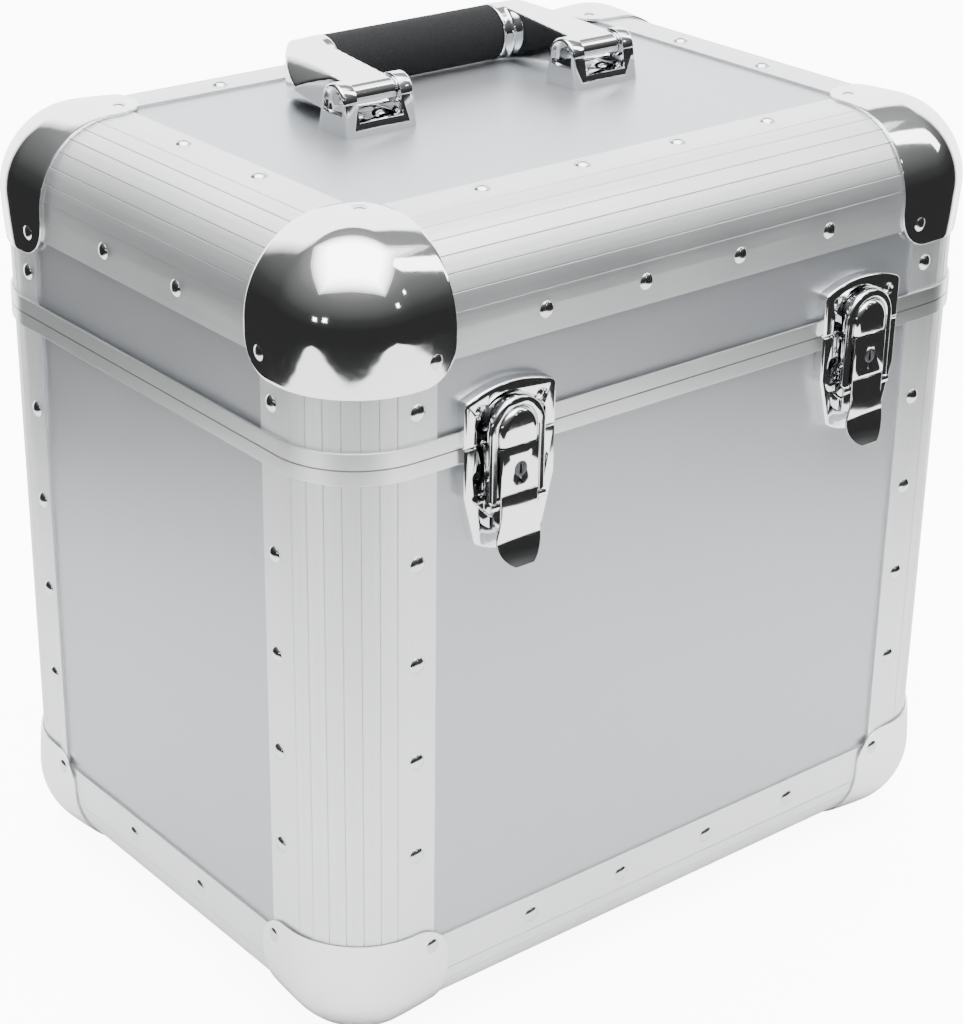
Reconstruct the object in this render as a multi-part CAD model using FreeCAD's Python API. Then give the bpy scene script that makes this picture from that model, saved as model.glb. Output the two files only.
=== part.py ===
import FreeCAD, Part
import math
import os

# Record carrying case: plywood panels held by grooved round aluminium corner profiles,
# ball corner caps, a lift-up lid on two rear hinges, two draw latches and a carrying handle.
# Millimetres. X runs right along the front, Y to the back, Z up.
# The origin is on the floor under the middle of the case.

V = FreeCAD.Vector

# Case: distances between the outer planes of the profiles
WIDTH = 363.0
DEPTH = 268.0
PROFILE_HEIGHT = 359.0
LID_HEIGHT = 86.0

# Corner profile section
ROUND_RADIUS = 36.5
ROUND_WALL = 1.5
FLANGE_END = 48.5
FLANGE_WALL = 1.2
SLOT_BOTTOM = 36.4
SLOT_WALL = 1.2
GROOVE_COUNT = 7
GROOVE_STEP_DEGREES = 11.6
GROOVE_HALF_WIDTH = 0.35
GROOVE_DEPTH = 0.5
MITRE_PLAY = 0.1

# Panels
PANEL_THICKNESS = 6.5
PANEL_PLAY = 0.2

# Rims of body and lid
RIM_PROUD = 1.2
RIM_WALL = 1.2
RIM_BODY_HEIGHT = 6.5
RIM_LID_HEIGHT = 7.0
RIM_PLAY = 0.05

# Corner caps
CAP_WALL = 1.2
CAP_PLAY = 0.05
CAP_REACH_LID = 57.0
CAP_REACH_BODY = 55.5
CAP_LOBE_RADIUS = 16.0
CAP_BALL_SHIFT = 1.6
CAP_BALL_PROUD = 2.4
CAP_SEAT_RADIUS = 3.4
CAP_RIVET_INSET = 46.5

# Rivets
RIVET_HEAD_RADIUS = 3.0
RIVET_HEAD_HEIGHT = 1.3
RIVET_SHANK_RADIUS = 1.55
RIVET_TAIL_RADIUS = 2.5
RIVET_TAIL_HEIGHT = 1.0
RIVET_HOLE_PLAY = 0.05
COLUMN_INSET_FRONT = 39.3
COLUMN_INSET_SIDE = 41.6
COLUMN_FIRST_BELOW_SPLIT = 44.7
COLUMN_LAST_ABOVE_BOTTOM = 93.9
COLUMN_COUNT = 4
LID_COLUMN_ABOVE_SPLIT = 19.8
ROW_INSET = 38.5
ROW_PITCH_FRONT = 52.6
ROW_PITCH_SIDE = 55.0
FLAT_ROW_INSET = 41.0

# Foam pads on the floor and under the lid
PAD_THICKNESS = 5.0
PAD_EDGE_INSET = 15.5
PAD_CORNER_RADIUS = 12.0
PAD_SEAT_GAP = 0.3

# Hinges
HINGE_WIDTH = 50.0
HINGE_FLANGE_GAP = 8.7
HINGE_STANDOFF = 0.35
KNUCKLE_RADIUS = 3.5
KNUCKLE_PIN_RADIUS = 1.6
KNUCKLE_PLAY = 0.05
KNUCKLE_GAP = 0.3
LID_KNUCKLE_LENGTH = 16.8
LEAF_THICKNESS = 1.5
LEAF_FLANGE_GAP = 1.5
LEAF_JOGGLE_END = 10.1
LEAF_RIVET_SPACING = 32.0

# Handle brackets on the lid
BRACKET_SPACING = 126.0
BRACKET_BACK_OF_MIDDLE = 3.8
BRACKET_LENGTH = 36.8
BRACKET_HALF_DEPTH = 11.0
EAR_THICKNESS = 7.0
EAR_TOP_RADIUS = 8.2
EAR_ARC_HEIGHT = 13.8
BRACKET_WEB_HEIGHT = 6.0
EAR_RECESS_RADIUS = 6.6
EAR_RECESS_FLOOR = 9.0
EAR_RECESS_DEPTH = 2.8
EAR_EDGE_RADIUS = 1.2
BRACKET_SCREW_SPACING = 11.0
BRACKET_SCREW_HEAD_RADIUS = 3.2
BRACKET_SCREW_HEAD_HEIGHT = 1.6
BRACKET_SCREW_RADIUS = 2.0
BRACKET_SCREW_END = 0.8

# Handle
HANDLE_PIVOT_HEIGHT = 15.0
HANDLE_PIN_RADIUS = 2.5
HANDLE_PIN_PLAY = 0.05
BARREL_RADIUS = 5.7
BARREL_SIDE_PLAY = 0.25
GRIP_RADIUS = 12.6
GRIP_END_INSIDE_BRACKET = 16.8
GRIP_REACH = 54.2
HANDLE_REST_GAP = 0.3
CORE_RADIUS = 4.0
CORE_PLAY = 0.05
CORE_SOCKET = 12.0
FERRULE_LENGTH = 7.0
FERRULE_STEP = 0.3
ARM_OUTSIDE_BRACKET = 16.5
ARM_STRAIGHT = 12.5
ELBOW_BEFORE_GRIP = 24.0
ELBOW_MIDDLE_BEFORE_GRIP = 5.0
ELBOW_MIDDLE_INSET = 8.5
ELBOW_PAST_GRIP = 8.0
DOME_MIDDLE_INSET = 8.0
DOME_MIDDLE_HEIGHT = 9.6
DOME_PAST_ELBOW = 0.5

# Latches
LATCH_FLANGE_GAP = 10.7
PLATE_HALF_WIDTH = 23.0
PLATE_HEIGHT = 5.3
PLATE_EDGE_WALL = 1.5
PLATE_BACK_POCKET = 2.5
PLATE_RECESS_HALF_WIDTH = 17.5
PLATE_RECESS_DEPTH = 1.6
PLATE_SPLIT_GAP = 0.15
PLATE_CORNER_RADIUS = 3.0
PLATE_FRONT_RADIUS = 1.2
PLATE_RECESS_RADIUS = 1.2
BASE_SHOULDER_DROP = 20.5
BASE_TAPER_DROP = 42.0
BASE_TAPER_HALF_WIDTH = 17.5
BASE_BOTTOM_DROP = 47.5
BASE_RECESS_SIDE_DROP = 23.0
BASE_RECESS_DROP = 34.5
BASE_RIVET_SPACING = 32.0
BASE_RIVET_DROP = 13.0
CATCH_SIDE_RISE = 19.0
CATCH_TOP_RISE = 24.0
CATCH_RECESS_SIDE_RISE = 8.5
CATCH_RECESS_RISE = 18.8
CATCH_SCREW_SPACING = 30.8
CATCH_SCREW_RISE = 14.4
CATCH_SCREW_HEAD_RADIUS = 2.6
CATCH_SCREW_HEAD_HEIGHT = 1.0
CATCH_SCREW_RADIUS = 1.5
CATCH_SCREW_END = 0.8
HEAD_POCKET_GAP = 0.4
KEEPER_HALF_WIDTH = 8.0
KEEPER_LOW_RISE = 2.0
KEEPER_HIGH_RISE = 14.0
KEEPER_HEIGHT = 7.0

# Lever
LEVER_FACE = 11.6
LEVER_WALL = 1.0
LEVER_SIDE_WALL = 1.2
LEVER_HALF_WIDTH = 9.6
LEVER_TOP_DROP = 1.2
LEVER_PIVOT_DROP = 3.6
LEVER_PIVOT_HEIGHT = 8.6
LEVER_EAR_RADIUS = 2.4
LEVER_PIN_RADIUS = 1.2
LEVER_PIN_PLAY = 0.05
LEVER_WEB_SIDE_GAP = 0.5
LEVER_FLARE_DROP = 33.2
LEVER_SIDE_END_DROP = 37.0
LEVER_EDGE_RADIUS = 0.9
TAB_ROOT_DROP = 40.0
TAB_HALF_WIDTH = 11.0
TAB_END_DROP = 52.8
TAB_CURL = 4.0
TAB_BEND_SHARE = 0.22
STEP_LINE_DROP = 20.8
STEP_LINE_WIDTH = 0.6
STEP_LINE_DEPTH = 0.35

# Lock cylinder in the lever
LOCK_DROP = 11.2
LOCK_RADIUS = 3.2
LOCK_PLAY = 0.05
LOCK_PROUD = 0.1
LOCK_BACK = 7.6
LOCK_COLLAR_RADIUS = 4.4
LOCK_COLLAR_THICKNESS = 1.2
LOCK_COLLAR_GAP = 0.1
KEY_SLOT_DROP = 6.2
KEY_SLOT_HALF_WIDTH = 1.0
KEY_CUT_HALF_WIDTH = 0.5
KEY_CUT_HALF_LENGTH = 2.2
KEY_CUT_DEPTH = 2.5
CAM_HALF_WIDTH = 1.5
CAM_LENGTH = 7.0
CAM_THICKNESS = 1.2

# Pull loop with its cover
LOOP_PIVOT_DROP = 25.5
LOOP_INNER_HALF_WIDTH = 10.0
LOOP_BAND = 4.0
LOOP_BACK = 7.4
LOOP_FRONT = 10.2
LOOP_TOP_RISE = 18.8
LOOP_PIN_RADIUS = 1.25
LOOP_EYE_RADIUS = 2.4
LOOP_EDGE_RADIUS = 1.2
COVER_GAP_BELOW_SPLIT = 0.6
COVER_SIDE_GAP = 0.4
COVER_BACKING = 1.2
COVER_EDGE_RADIUS = 3.0

# How far cutting tools run past what they cut, and how near counts as the same place
OVERRUN = 1.0
SAME_PLACE = 0.001

# Places that follow from the sizes
half_width = WIDTH / 2
half_depth = DEPTH / 2
z_low = CAP_WALL
z_top = z_low + PROFILE_HEIGHT
z_split = z_top - LID_HEIGHT
panel_inner = FLANGE_WALL + PANEL_THICKNESS
section_depth = panel_inner + FLANGE_WALL
profile_end = SLOT_BOTTOM - SLOT_WALL
panel_edge = SLOT_BOTTOM + PANEL_PLAY
body_seat = z_split - RIM_WALL
lid_seat = z_split + RIM_WALL
front_face = -half_depth + FLANGE_WALL
lid_face = z_top - FLANGE_WALL
X = V(1, 0, 0)
Y = V(0, 1, 0)
Z = V(0, 0, 1)


def outline(start, steps, place):
    """Face inside a closed outline; a step is a point, or a (middle, end) pair for an arc."""
    edges = []
    here = start
    for step in list(steps) + [start]:
        if isinstance(step[0], tuple):
            arc = Part.Arc(place(*here), place(*step[0]), place(*step[1]))
            edges.append(arc.toShape())
            here = step[1]
        elif step != here:
            edges.append(Part.makeLine(place(*here), place(*step)))
            here = step
    return Part.Face(Part.Wire(edges))


def prism(start, steps, place, sweep):
    """Straight solid over an outline."""
    return outline(start, steps, place).extrude(sweep)


def box(low, high):
    """Box between two corners."""
    size = high - low
    return Part.makeBox(size.x, size.y, size.z, low)


def rod(start, end, radius):
    """Round bar between two points."""
    return Part.makeCylinder(radius, (end - start).Length, start, end - start)


def group(solids):
    """Several separate solids of one kind."""
    return Part.makeCompound(solids)


def edges_on(solid, point, normal):
    """Edges of a solid that lie in a plane."""
    def in_plane(place):
        return abs((place - point).dot(normal)) < SAME_PLACE

    return [e for e in solid.Edges
            if in_plane(e.CenterOfMass) and all(in_plane(v.Point) for v in e.Vertexes)]


def edges_on_way(solid, way):
    """Straight edges of a solid that run along a direction."""
    return [e for e in solid.Edges if len(e.Vertexes) == 2
            and (e.Vertexes[1].Point - e.Vertexes[0].Point).cross(way).Length < SAME_PLACE]


def eased(solid, radius, point, normal):
    """Solid with its edges in a plane rounded."""
    return solid.makeFillet(radius, edges_on(solid, point, normal))


# Rivets and the holes for them
def fastener(head, head_radius, shank_radius, grip, tail, tail_radius):
    """Domed or pan-headed fastener along Z: head above zero, shank and tail below."""
    ball = (head_radius ** 2 + head ** 2) / (2 * head)
    half = math.asin(head_radius / ball) / 2
    middle = (ball * math.sin(half), head - ball + ball * math.cos(half))
    end = -grip - tail
    steps = [(middle, (head_radius, 0)), (shank_radius, 0), (shank_radius, -grip)]
    if tail_radius > shank_radius:
        steps += [(tail_radius, -grip), (tail_radius, end)]
    else:
        steps += [(shank_radius, end)]
    steps += [(0, end)]
    face = outline((0, head), steps, lambda r, z: V(r, 0, z))
    return face.revolve(V(0, 0, 0), Z, 360)


def seated(shape, seat, outward):
    """Copy of a Z-aligned shape, its zero at the seat and its Z along outward."""
    copy = shape.copy()
    copy.Placement = FreeCAD.Placement(seat, FreeCAD.Rotation(Z, outward))
    return copy


def rivet(seat, outward, grip):
    """Blind rivet and the drill for its hole."""
    body = fastener(RIVET_HEAD_HEIGHT, RIVET_HEAD_RADIUS, RIVET_SHANK_RADIUS, grip,
                    RIVET_TAIL_HEIGHT, RIVET_TAIL_RADIUS)
    hole = rod(V(0, 0, OVERRUN), V(0, 0, -grip - OVERRUN), RIVET_SHANK_RADIUS + RIVET_HOLE_PLAY)
    return seated(body, seat, outward), seated(hole, seat, outward)


def face_rivets(columns, rows, seat_of, outward, grip):
    """Rivets at each column and row of a face."""
    return [rivet(seat_of(c, r), outward, grip) for c in columns for r in rows]


flange_grip = section_depth
cap_grip = CAP_WALL + section_depth
column_top = z_split - COLUMN_FIRST_BELOW_SPLIT
column_pitch = (column_top - z_low - COLUMN_LAST_ABOVE_BOTTOM) / (COLUMN_COUNT - 1)
body_column_z = [column_top - i * column_pitch for i in range(COLUMN_COUNT)]
row_front = [s * ROW_PITCH_FRONT / 2 for s in (-3, -1, 1, 3)]
row_side = [s * ROW_PITCH_SIDE / 2 for s in (-1, 1)]
column_x = [s * (half_width - COLUMN_INSET_FRONT) for s in (-1, 1)]
column_y = [s * (half_depth - COLUMN_INSET_SIDE) for s in (-1, 1)]
cap_x = [s * (half_width - CAP_RIVET_INSET) for s in (-1, 1)]
cap_y = [s * (half_depth - CAP_RIVET_INSET) for s in (-1, 1)]

body_pairs = []
lid_pairs = []
for side in (-1, 1):
    flat = lambda x, z, s=side: V(x, s * half_depth, z)
    proud = lambda x, z, s=side: V(x, s * (half_depth + CAP_WALL), z)
    body_pairs += face_rivets(column_x, body_column_z, flat, Y * side, flange_grip)
    body_pairs += face_rivets(row_front, [z_low + ROW_INSET], flat, Y * side, flange_grip)
    body_pairs += face_rivets(cap_x, [z_low + CAP_RIVET_INSET], proud, Y * side, cap_grip)
    lid_pairs += face_rivets(column_x, [z_split + LID_COLUMN_ABOVE_SPLIT], flat, Y * side, flange_grip)
    lid_pairs += face_rivets(row_front, [z_top - ROW_INSET], flat, Y * side, flange_grip)
    lid_pairs += face_rivets(cap_x, [z_top - CAP_RIVET_INSET], proud, Y * side, cap_grip)
    flat = lambda y, z, s=side: V(s * half_width, y, z)
    proud = lambda y, z, s=side: V(s * (half_width + CAP_WALL), y, z)
    body_pairs += face_rivets(column_y, body_column_z, flat, X * side, flange_grip)
    body_pairs += face_rivets(row_side, [z_low + ROW_INSET], flat, X * side, flange_grip)
    body_pairs += face_rivets(cap_y, [z_low + CAP_RIVET_INSET], proud, X * side, cap_grip)
    lid_pairs += face_rivets(column_y, [z_split + LID_COLUMN_ABOVE_SPLIT], flat, X * side, flange_grip)
    lid_pairs += face_rivets(row_side, [z_top - ROW_INSET], flat, X * side, flange_grip)
    lid_pairs += face_rivets(cap_y, [z_top - CAP_RIVET_INSET], proud, X * side, cap_grip)
for level, outward, pairs in ((z_low, -Z, body_pairs), (z_top, Z, lid_pairs)):
    seat = lambda x, y, z=level: V(x, y, z)
    flat_y = [s * (half_depth - FLAT_ROW_INSET) for s in (-1, 1)]
    flat_x = [s * (half_width - FLAT_ROW_INSET) for s in (-1, 1)]
    pairs += face_rivets(row_front, flat_y, seat, outward, flange_grip)
    pairs += face_rivets(flat_x, row_side, seat, outward, flange_grip)
lid_pairs += face_rivets(cap_x, cap_y, lambda x, y: V(x, y, z_top + CAP_WALL), Z, cap_grip)

# Hinges: leaves lie on the back panels and step out over the rims to the knuckles
axis_y = half_depth + RIM_PROUD + HINGE_STANDOFF + KNUCKLE_RADIUS
panel_back = half_depth - FLANGE_WALL
leaf_over_rim = axis_y - KNUCKLE_RADIUS - HINGE_STANDOFF / 2
leaf_clear = KNUCKLE_RADIUS + KNUCKLE_GAP
hinge_half = HINGE_WIDTH / 2
knuckle_half = LID_KNUCKLE_LENGTH / 2
hinge_x = [s * (half_width - FLANGE_END - HINGE_FLANGE_GAP - hinge_half) for s in (-1, 1)]
leaf_length = LID_HEIGHT - FLANGE_END - LEAF_FLANGE_GAP
leaf_rivet_near_share = 0.27
leaf_rivet_far_share = 0.73


def hinge_leaf(centre, rise, spans):
    """Leaf with knuckles over the given spans; rise is +1 for the lid and -1 for the body."""
    joggle_start = LEAF_JOGGLE_END - (leaf_over_rim - panel_back)
    slant = LEAF_THICKNESS * math.tan(math.radians(45) / 2)
    start = (leaf_over_rim, leaf_clear)
    steps = [(leaf_over_rim, joggle_start), (panel_back, LEAF_JOGGLE_END), (panel_back, leaf_length),
             (panel_back + LEAF_THICKNESS, leaf_length),
             (panel_back + LEAF_THICKNESS, LEAF_JOGGLE_END + slant),
             (leaf_over_rim + LEAF_THICKNESS, joggle_start + slant),
             (leaf_over_rim + LEAF_THICKNESS, leaf_clear)]
    place = lambda y, h: V(centre - hinge_half, y, z_split + rise * h)
    leaf = prism(start, steps, place, X * HINGE_WIDTH)
    for low, high in spans:
        reach = box(V(centre + low, leaf_over_rim, 0),
                    V(centre + high, leaf_over_rim + LEAF_THICKNESS, leaf_clear + OVERRUN))
        if rise < 0:
            reach = reach.mirror(V(0, 0, 0), Z)
        reach.translate(V(0, 0, z_split))
        knuckle = rod(V(centre + low, axis_y, z_split), V(centre + high, axis_y, z_split), KNUCKLE_RADIUS)
        leaf = leaf.fuse([reach, knuckle])
    bore = rod(V(centre - hinge_half - OVERRUN, axis_y, z_split),
               V(centre + hinge_half + OVERRUN, axis_y, z_split), KNUCKLE_PIN_RADIUS + KNUCKLE_PLAY)
    return leaf.cut(bore).removeSplitter()


def leaf_rivets(centre, rise):
    """Three rivets through a leaf and the panel behind it."""
    seat = lambda x, h: V(centre + x, panel_back + LEAF_THICKNESS, z_split + rise * h)
    grip = LEAF_THICKNESS + PANEL_THICKNESS
    flat = leaf_length - LEAF_JOGGLE_END
    near = LEAF_JOGGLE_END + flat * leaf_rivet_near_share
    far = LEAF_JOGGLE_END + flat * leaf_rivet_far_share
    pair = face_rivets([-LEAF_RIVET_SPACING / 2, LEAF_RIVET_SPACING / 2], [near], seat, Y, grip)
    return pair + face_rivets([0], [far], seat, Y, grip)


body_spans = [(-hinge_half, -knuckle_half - KNUCKLE_GAP), (knuckle_half + KNUCKLE_GAP, hinge_half)]
lid_spans = [(-knuckle_half, knuckle_half)]
hinge_body_leaves = [hinge_leaf(x, -1, body_spans) for x in hinge_x]
hinge_lid_leaves = [hinge_leaf(x, 1, lid_spans) for x in hinge_x]
hinge_pins = [rod(V(x - hinge_half, axis_y, z_split), V(x + hinge_half, axis_y, z_split),
                  KNUCKLE_PIN_RADIUS) for x in hinge_x]
for x in hinge_x:
    body_pairs += leaf_rivets(x, -1)
    lid_pairs += leaf_rivets(x, 1)


# Latch pieces are drawn at the middle of a latch: x across, h out from the front panel,
# s up from the split, and are then moved to their two places.
def latch_point(x, h, s):
    """Place of a latch point for a latch in the middle of the front."""
    return V(x, front_face - h, z_split + s)


def latch_front(start, steps, low, high):
    """Latch solid with a front outline (x, s) between two heights h."""
    return prism(start, steps, lambda x, s: latch_point(x, low, s), Y * (low - high))


def latch_side(start, steps, low, high):
    """Latch solid with a side outline (h, s) between two places x."""
    return prism(start, steps, lambda h, s: latch_point(low, h, s), X * (high - low))


def latch_block(x1, x2, h1, h2, s1, s2):
    """Latch block between two opposite corners."""
    return box(latch_point(x1, h2, s1), latch_point(x2, h1, s2))


def tray(start, steps, recess_start, recess_steps, head_pockets):
    """Cast plate with a hollow back, a passage for the rims and a recess in its front."""
    plate = latch_front(start, steps, 0, PLATE_HEIGHT)
    upright = [e for e in edges_on_way(plate, Y) if abs(e.CenterOfMass.z - z_split) > RIM_LID_HEIGHT]
    plate = plate.makeFillet(PLATE_CORNER_RADIUS, upright)
    plate = eased(plate, PLATE_FRONT_RADIUS, latch_point(0, PLATE_HEIGHT, 0), Y)
    back = outline(start, steps, lambda x, s: latch_point(x, 0, s))
    pocket = back.makeOffset2D(-PLATE_EDGE_WALL).extrude(-Y * PLATE_BACK_POCKET)
    rim_height = FLANGE_WALL + RIM_PROUD + RIM_PLAY
    passage = latch_block(-PLATE_HALF_WIDTH - OVERRUN, PLATE_HALF_WIDTH + OVERRUN, -OVERRUN, rim_height,
                          -RIM_BODY_HEIGHT - RIM_PLAY, RIM_LID_HEIGHT + RIM_PLAY)
    floor = PLATE_HEIGHT - PLATE_RECESS_DEPTH
    recess = latch_front(recess_start, recess_steps, floor, PLATE_HEIGHT + OVERRUN)
    recess = eased(recess, PLATE_RECESS_RADIUS, latch_point(0, floor, 0), Y)
    seats = [rod(latch_point(x, floor, s), latch_point(x, PLATE_HEIGHT + OVERRUN, s), radius)
             for x, s, radius in head_pockets]
    return plate.cut([pocket, passage, recess] + seats)


plate_floor = PLATE_HEIGHT - PLATE_RECESS_DEPTH
base_rivet_x = [s * BASE_RIVET_SPACING / 2 for s in (-1, 1)]
catch_screw_x = [s * CATCH_SCREW_SPACING / 2 for s in (-1, 1)]
base_plate = tray(
    (-PLATE_HALF_WIDTH, -PLATE_SPLIT_GAP),
    [(-PLATE_HALF_WIDTH, -BASE_SHOULDER_DROP), (-BASE_TAPER_HALF_WIDTH, -BASE_TAPER_DROP),
     ((0, -BASE_BOTTOM_DROP), (BASE_TAPER_HALF_WIDTH, -BASE_TAPER_DROP)),
     (PLATE_HALF_WIDTH, -BASE_SHOULDER_DROP), (PLATE_HALF_WIDTH, -PLATE_SPLIT_GAP)],
    (-PLATE_RECESS_HALF_WIDTH, OVERRUN),
    [(-PLATE_RECESS_HALF_WIDTH, -BASE_RECESS_SIDE_DROP),
     ((0, -BASE_RECESS_DROP), (PLATE_RECESS_HALF_WIDTH, -BASE_RECESS_SIDE_DROP)),
     (PLATE_RECESS_HALF_WIDTH, OVERRUN)],
    [(x, -BASE_RIVET_DROP, RIVET_HEAD_RADIUS + HEAD_POCKET_GAP) for x in base_rivet_x])
web_half = LEVER_HALF_WIDTH - LEVER_SIDE_WALL - LEVER_WEB_SIDE_GAP
lever_web = latch_block(-web_half, web_half, plate_floor - PLATE_EDGE_WALL / 2, LEVER_PIVOT_HEIGHT,
                        -LEVER_PIVOT_DROP - LEVER_PIN_RADIUS, -LEVER_PIVOT_DROP + LEVER_PIN_RADIUS)
lever_pin = rod(latch_point(-LEVER_HALF_WIDTH, LEVER_PIVOT_HEIGHT, -LEVER_PIVOT_DROP),
                latch_point(LEVER_HALF_WIDTH, LEVER_PIVOT_HEIGHT, -LEVER_PIVOT_DROP), LEVER_PIN_RADIUS)
base_plate = base_plate.fuse([lever_web, lever_pin])

catch_plate = tray(
    (-PLATE_HALF_WIDTH, PLATE_SPLIT_GAP),
    [(PLATE_HALF_WIDTH, PLATE_SPLIT_GAP), (PLATE_HALF_WIDTH, CATCH_SIDE_RISE),
     ((0, CATCH_TOP_RISE), (-PLATE_HALF_WIDTH, CATCH_SIDE_RISE))],
    (-PLATE_RECESS_HALF_WIDTH, -OVERRUN),
    [(PLATE_RECESS_HALF_WIDTH, -OVERRUN), (PLATE_RECESS_HALF_WIDTH, CATCH_RECESS_SIDE_RISE),
     ((0, CATCH_RECESS_RISE), (-PLATE_RECESS_HALF_WIDTH, CATCH_RECESS_SIDE_RISE))],
    [(x, CATCH_SCREW_RISE, CATCH_SCREW_HEAD_RADIUS + HEAD_POCKET_GAP) for x in catch_screw_x])
keeper_arch = KEEPER_HIGH_RISE - KEEPER_HALF_WIDTH
keeper = latch_front(
    (-KEEPER_HALF_WIDTH, KEEPER_LOW_RISE),
    [(KEEPER_HALF_WIDTH, KEEPER_LOW_RISE), (KEEPER_HALF_WIDTH, keeper_arch),
     ((0, KEEPER_HIGH_RISE), (-KEEPER_HALF_WIDTH, keeper_arch))],
    plate_floor - PLATE_EDGE_WALL / 2, KEEPER_HEIGHT)
catch_plate = catch_plate.fuse(keeper)

latch_x = [s * (half_width - FLANGE_END - LATCH_FLANGE_GAP - PLATE_HALF_WIDTH) for s in (-1, 1)]
latch_grip = plate_floor + PANEL_THICKNESS
catch_screw_grip = latch_grip + CATCH_SCREW_END
catch_screw = fastener(CATCH_SCREW_HEAD_HEIGHT, CATCH_SCREW_HEAD_RADIUS, CATCH_SCREW_RADIUS,
                       catch_screw_grip, 0, 0)
catch_drill = rod(V(0, 0, OVERRUN), V(0, 0, -catch_screw_grip - OVERRUN),
                  CATCH_SCREW_RADIUS + RIVET_HOLE_PLAY)
catch_pairs = []
for x in latch_x:
    for dx in base_rivet_x:
        body_pairs.append(rivet(latch_point(x + dx, plate_floor, -BASE_RIVET_DROP), -Y, latch_grip))
    for dx in catch_screw_x:
        seat = latch_point(x + dx, plate_floor, CATCH_SCREW_RISE)
        catch_pairs.append((seated(catch_screw, seat, -Y), seated(catch_drill, seat, -Y)))

# Lever: a cast channel over the base plate with an outward-curled finger tab
lever_eye = latch_point(0, LEVER_PIVOT_HEIGHT, -LEVER_PIVOT_DROP)
loop_eye = latch_point(0, LEVER_PIVOT_HEIGHT, -LOOP_PIVOT_DROP)
face_inner = LEVER_FACE - LEVER_WALL
tab_bend = (TAB_ROOT_DROP + TAB_END_DROP) / 2
bend_out = TAB_CURL * TAB_BEND_SHARE
lever_face = latch_side(
    (LEVER_FACE, -LEVER_TOP_DROP),
    [(LEVER_FACE, -LEVER_SIDE_END_DROP),
     ((LEVER_FACE + bend_out, -tab_bend), (LEVER_FACE + TAB_CURL, -TAB_END_DROP + LEVER_WALL)),
     (LEVER_FACE + TAB_CURL - LEVER_WALL, -TAB_END_DROP),
     ((face_inner + bend_out, -tab_bend - LEVER_WALL / 2), (face_inner, -LEVER_SIDE_END_DROP)),
     (face_inner, -LEVER_TOP_DROP)],
    -TAB_HALF_WIDTH - OVERRUN, TAB_HALF_WIDTH + OVERRUN)
lever_shape = latch_front(
    (-LEVER_HALF_WIDTH, -LEVER_TOP_DROP),
    [(LEVER_HALF_WIDTH, -LEVER_TOP_DROP), (LEVER_HALF_WIDTH, -LEVER_FLARE_DROP),
     (TAB_HALF_WIDTH, -TAB_ROOT_DROP), ((0, -TAB_END_DROP), (-TAB_HALF_WIDTH, -TAB_ROOT_DROP)),
     (-LEVER_HALF_WIDTH, -LEVER_FLARE_DROP)],
    0, LEVER_FACE + TAB_CURL + OVERRUN)
lever = lever_face.common(lever_shape)
lever_low = LEVER_PIVOT_HEIGHT - LEVER_EAR_RADIUS
wall_in = LEVER_HALF_WIDTH - LEVER_SIDE_WALL
for low, high in ((-LEVER_HALF_WIDTH, -wall_in), (wall_in, LEVER_HALF_WIDTH)):
    wall = latch_block(low, high, lever_low, face_inner + LEVER_WALL / 2,
                       -LEVER_SIDE_END_DROP, -LEVER_PIVOT_DROP)
    ear_front = latch_block(low, high, LEVER_PIVOT_HEIGHT, face_inner + LEVER_WALL / 2,
                            -LEVER_PIVOT_DROP - LEVER_EAR_RADIUS, -LEVER_TOP_DROP)
    ear = rod(V(low, lever_eye.y, lever_eye.z), V(high, lever_eye.y, lever_eye.z), LEVER_EAR_RADIUS)
    lever = lever.fuse([wall, ear_front, ear])
lever = lever.removeSplitter()
lever_sides = [e for e in edges_on(lever, latch_point(0, LEVER_FACE, 0), Y)
               if abs(abs(e.CenterOfMass.x) - LEVER_HALF_WIDTH) < SAME_PLACE]
lever = lever.makeFillet(LEVER_EDGE_RADIUS, lever_sides)
across = X * (TAB_HALF_WIDTH + OVERRUN)
lever_bores = [rod(lever_eye - across, lever_eye + across, LEVER_PIN_RADIUS + LEVER_PIN_PLAY),
               rod(loop_eye - across, loop_eye + across, LOOP_PIN_RADIUS + LEVER_PIN_PLAY),
               rod(latch_point(0, LOCK_BACK, -LOCK_DROP), latch_point(0, LEVER_FACE + OVERRUN, -LOCK_DROP),
                   LOCK_RADIUS + LOCK_PLAY),
               latch_block(-KEY_SLOT_HALF_WIDTH, KEY_SLOT_HALF_WIDTH, LOCK_BACK, LEVER_FACE + OVERRUN,
                           -LOCK_DROP - KEY_SLOT_DROP, -LOCK_DROP),
               latch_block(-TAB_HALF_WIDTH, TAB_HALF_WIDTH, LEVER_FACE - STEP_LINE_DEPTH,
                           LEVER_FACE + OVERRUN, -STEP_LINE_DROP - STEP_LINE_WIDTH, -STEP_LINE_DROP)]
lever = lever.cut(lever_bores)

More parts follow.
